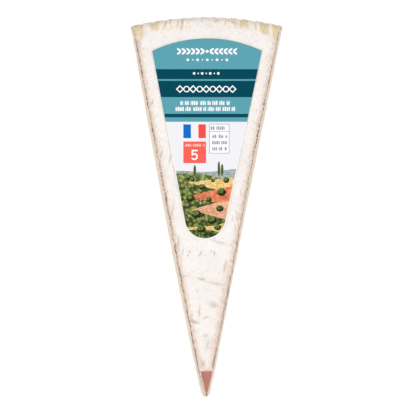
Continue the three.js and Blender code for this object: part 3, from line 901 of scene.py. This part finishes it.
def ornaments(sheet):
    """White ornaments on the teal: a sprig of paired leaves, rows of dots, a row of rings and
    lozenges, and two rows of bars."""
    look = sheet.look
    stem_x, stem_y, leaf_pitch = 0.4, 73.5, 2.2
    leaves = sheet.disc(stem_x, stem_y, 0.7)
    for i in range(1, 7):
        for side in (-1, 1):
            for up in (-1, 1):
                leaf_x, leaf_y = stem_x + side * leaf_pitch * i, stem_y + 0.72 * up
                leaf = sheet.disc(leaf_x, leaf_y, 1.15, tall=0.42, turn=0.62 * side * up)
                leaves = look.higher(leaf, leaves)
    sheet.lay(WHITE, leaves)
    sheet.dots(0.5, 69.5, 2.3, 4, even=0.62, odd=0.32)
    sheet.dots(0.0, 63.1, 1.9, 3, even=0.35, odd=0.62)

    row, pitch = 55.7, 3.1
    for i in range(-4, 5):
        middle = pitch * i
        if i % 2:
            sheet.lay(WHITE, sheet.ring(middle, row, 1.5, 1.0))
        else:
            slope = abs(look.x - middle) + abs(look.y - row)
            sheet.lay(WHITE, (slope < 1.9) - (slope < 1.15))
    sheet.bars(-12.3, 12.1, 48.2, 50.2, 3, WHITE)
    sheet.bars(-14.6, 14.4, 45.4, 47.4, 4, WHITE)


def flag_and_square(sheet):
    """A flag of three upright fields, and under it a red square with bars and a plain 5."""
    left, right = -10.8, -0.1
    flag_low, flag_high = 32.6, 39.1
    sheet.lay(paint(14, 108, 196), sheet.box(left, -7.2, flag_low, flag_high))
    sheet.lay(paint(238, 78, 66), sheet.box(-3.7, -0.2, flag_low, flag_high))
    sheet.lay(paint(246, 98, 84), sheet.box(left, right, 20.8, 31.0))
    sheet.bars(-10.1, -0.8, 28.7, 29.9, 7, paint(254, 214, 204))
    # The 5: its bar, its stem, and its bowl, which is open at the left
    sheet.lay(WHITE, sheet.box(-6.9, -4.0, 26.4, 27.1))
    sheet.lay(WHITE, sheet.box(-6.9, -6.2, 24.4, 27.0))
    gap = sheet.box(-9, -6.2, 23.3, 24.6)
    sheet.lay(WHITE, sheet.ring(-5.6, 23.9, 1.65, 0.95) * (1 - gap))


def ruled_box(sheet):
    """A grey-ruled white box in two parts, filled with grey bars."""
    grey = paint(146, 146, 156)
    left, right, low, high, rule = 1.4, 10.9, 25.4, 39.3, 0.25
    divide_low, divide_high = 35.55, 35.8
    sheet.lay(grey, sheet.box(left, right, low, high))
    sheet.lay(WHITE, sheet.box(left + rule, right - rule, divide_high, high - rule))
    sheet.lay(WHITE, sheet.box(left + rule, right - rule, low + rule, divide_low))
    sheet.bars(2.0, 10.2, 36.5, 38.3, 12, grey)
    for i, bars_low in enumerate((32.6, 29.7, 26.8)):
        sheet.bars(2.8, 9.8, bars_low, bars_low + 1.7, 20 + i, grey)


def label_look():
    """The label's print: bands of teal with plain ornaments, a three-colour flag, a red square, a
    ruled box, a made-up countryside, and a white border round the lower part."""
    look = Look("label")
    sheet = Print(look, paint(236, 235, 240))
    sheet.lay(paint(91, 160, 174), look.y > TEAL_EDGE)
    for low, high in DARK_BANDS:
        sheet.lay(paint(0, 70, 86), sheet.box(-40, 40, low, high))
    countryside(sheet)
    ornaments(sheet)
    flag_and_square(sheet)
    ruled_box(sheet)
    sheet.lay(WHITE, (look.attribute("edge_distance") < BORDER) * (look.y < TEAL_EDGE))
    return look.surface(
        Base_Color=sheet.colour,
        Roughness=0.4,
        Specular_IOR_Level=0.05,
        Normal=look.bump(look.noise(3.0, 3, 0.6), 0.02, 0.5),
    )


def tab_look():
    """Terracotta print that pales into pink at the tab's top edge."""
    look = Look("nose_tab")
    streak = look.noise(1.6, 3, 0.6, look.stretched(1, 0.25, 1))
    body = look.mix(paint(184, 126, 108), paint(172, 118, 102), look.rise(streak, 0.35, 0.65))
    from_middle = abs(look.x - 0.6)
    pale = look.higher(look.rise(look.y, TAB_TOP - 1.1, TAB_TOP), look.rise(from_middle, 1.2, 3.2))
    pink = look.mix(paint(226, 176, 164), paint(243, 229, 222), pale)
    colour = look.mix(body, pink, look.rise(look.y, TAB_TOP - 1.7, TAB_TOP - 0.9))
    return look.surface(
        Base_Color=colour,
        Roughness=0.5,
        Specular_IOR_Level=0.15,
        Normal=look.bump(look.noise(3.0), 0.02, 0.5),
    )


# Assembly

cheese = make_cheese()
film = make_film()
label = make_sheet(
    "printed_label", Columns(40, 150, 90), fan_ring, LABEL_TURN, LABEL_END + LABEL_END_RADIUS, 62.0,
    26, 0.06,
)
tab = make_sheet(
    "printed_tab", Columns(6, 24, 12), tab_ring, 0.0, TAB_TIP + 1.5, TAB_TOP - 2.5, 6, 0.0
)

cheese.data.materials.append(cheese_look())
film.data.materials.append(film_look())
label.data.materials.append(label_look())
tab.data.materials.append(tab_look())

for piece, node, slot in (
    (cheese, "wrapped_brie", "cheese"),
    (film, "wrapped_brie", "clear_film"),
    (label, "label", "label"),
    (tab, "nose_tab", "tab"),
):
    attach(piece, "root")
    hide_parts(node)


# Stage

def make_floor():
    """A plain pale floor that glows for the camera alone, so that it shows white and unshaded and
    doesn't light the cheese from below."""
    half = 3.0
    corners = [(-half, -half), (half, -half), (half, half), (-half, half)]
    mesh = bpy.data.meshes.new("floor")
    mesh.from_pydata([(x, y, -0.00005) for x, y in corners], [], [(0, 1, 2, 3)])
    floor = bpy.data.objects.new("floor", mesh)
    bpy.context.scene.collection.objects.link(floor)
    look = Look("floor")
    seen = look.node("ShaderNodeLightPath", output="Is Camera Ray")
    mesh.materials.append(look.surface(
        Base_Color=(0.8, 0.8, 0.8, 1.0),
        Roughness=0.9,
        Specular_IOR_Level=0.0,
        Emission_Color=look.mix((0.0, 0.0, 0.0, 1.0), (1.0, 1.0, 1.0, 1.0), seen),
        Emission_Strength=0.9,
    ))


def make_light(name, azimuth, elevation, distance, size, power):
    """A square soft light that faces the wedge. Azimuth 0 is on the -Y side and 90 on the +X side."""
    turn, tilt = math.radians(azimuth), math.radians(elevation)
    away = Vector((
        math.sin(turn) * math.cos(tilt),
        -math.cos(turn) * math.cos(tilt),
        math.sin(tilt),
    ))
    data = bpy.data.lights.new(name, "AREA")
    data.size = size
    data.energy = power
    light = bpy.data.objects.new(name, data)
    light.location = away * distance
    light.rotation_euler = away.to_track_quat("Z", "Y").to_euler()
    bpy.context.scene.collection.objects.link(light)


def make_world(strength):
    """Even white surroundings."""
    world = bpy.data.worlds.new("studio")
    world.use_nodes = True
    world.node_tree.nodes["Background"].inputs["Color"].default_value = (1, 1, 1, 1)
    world.node_tree.nodes["Background"].inputs["Strength"].default_value = strength
    bpy.context.scene.world = world


def make_camera():
    """Straight down, with the rim at the top of the picture. The picture is 196.1 mm across half
    way up the wedge, and its middle is a little right of the wedge's middle line."""
    frame_width = 0.1961
    distance = 3.0
    data = bpy.data.cameras.new("camera")
    data.sensor_width = 36.0
    data.lens = data.sensor_width * distance / frame_width
    camera = bpy.data.objects.new("camera", data)
    camera.location = (0.00036, 0.00014, distance + 0.5 * THICKNESS * MM)
    bpy.context.scene.collection.objects.link(camera)
    bpy.context.scene.camera = camera


make_floor()
make_world(0.4)
make_light("key", 300, 48, 0.9, 0.5, 3.5)
make_light("fill", 70, 50, 0.9, 0.6, 3.2)
make_light("back", 180, 35, 0.9, 0.9, 2.2)
make_camera()
bpy.context.scene.view_settings.view_transform = "Standard"
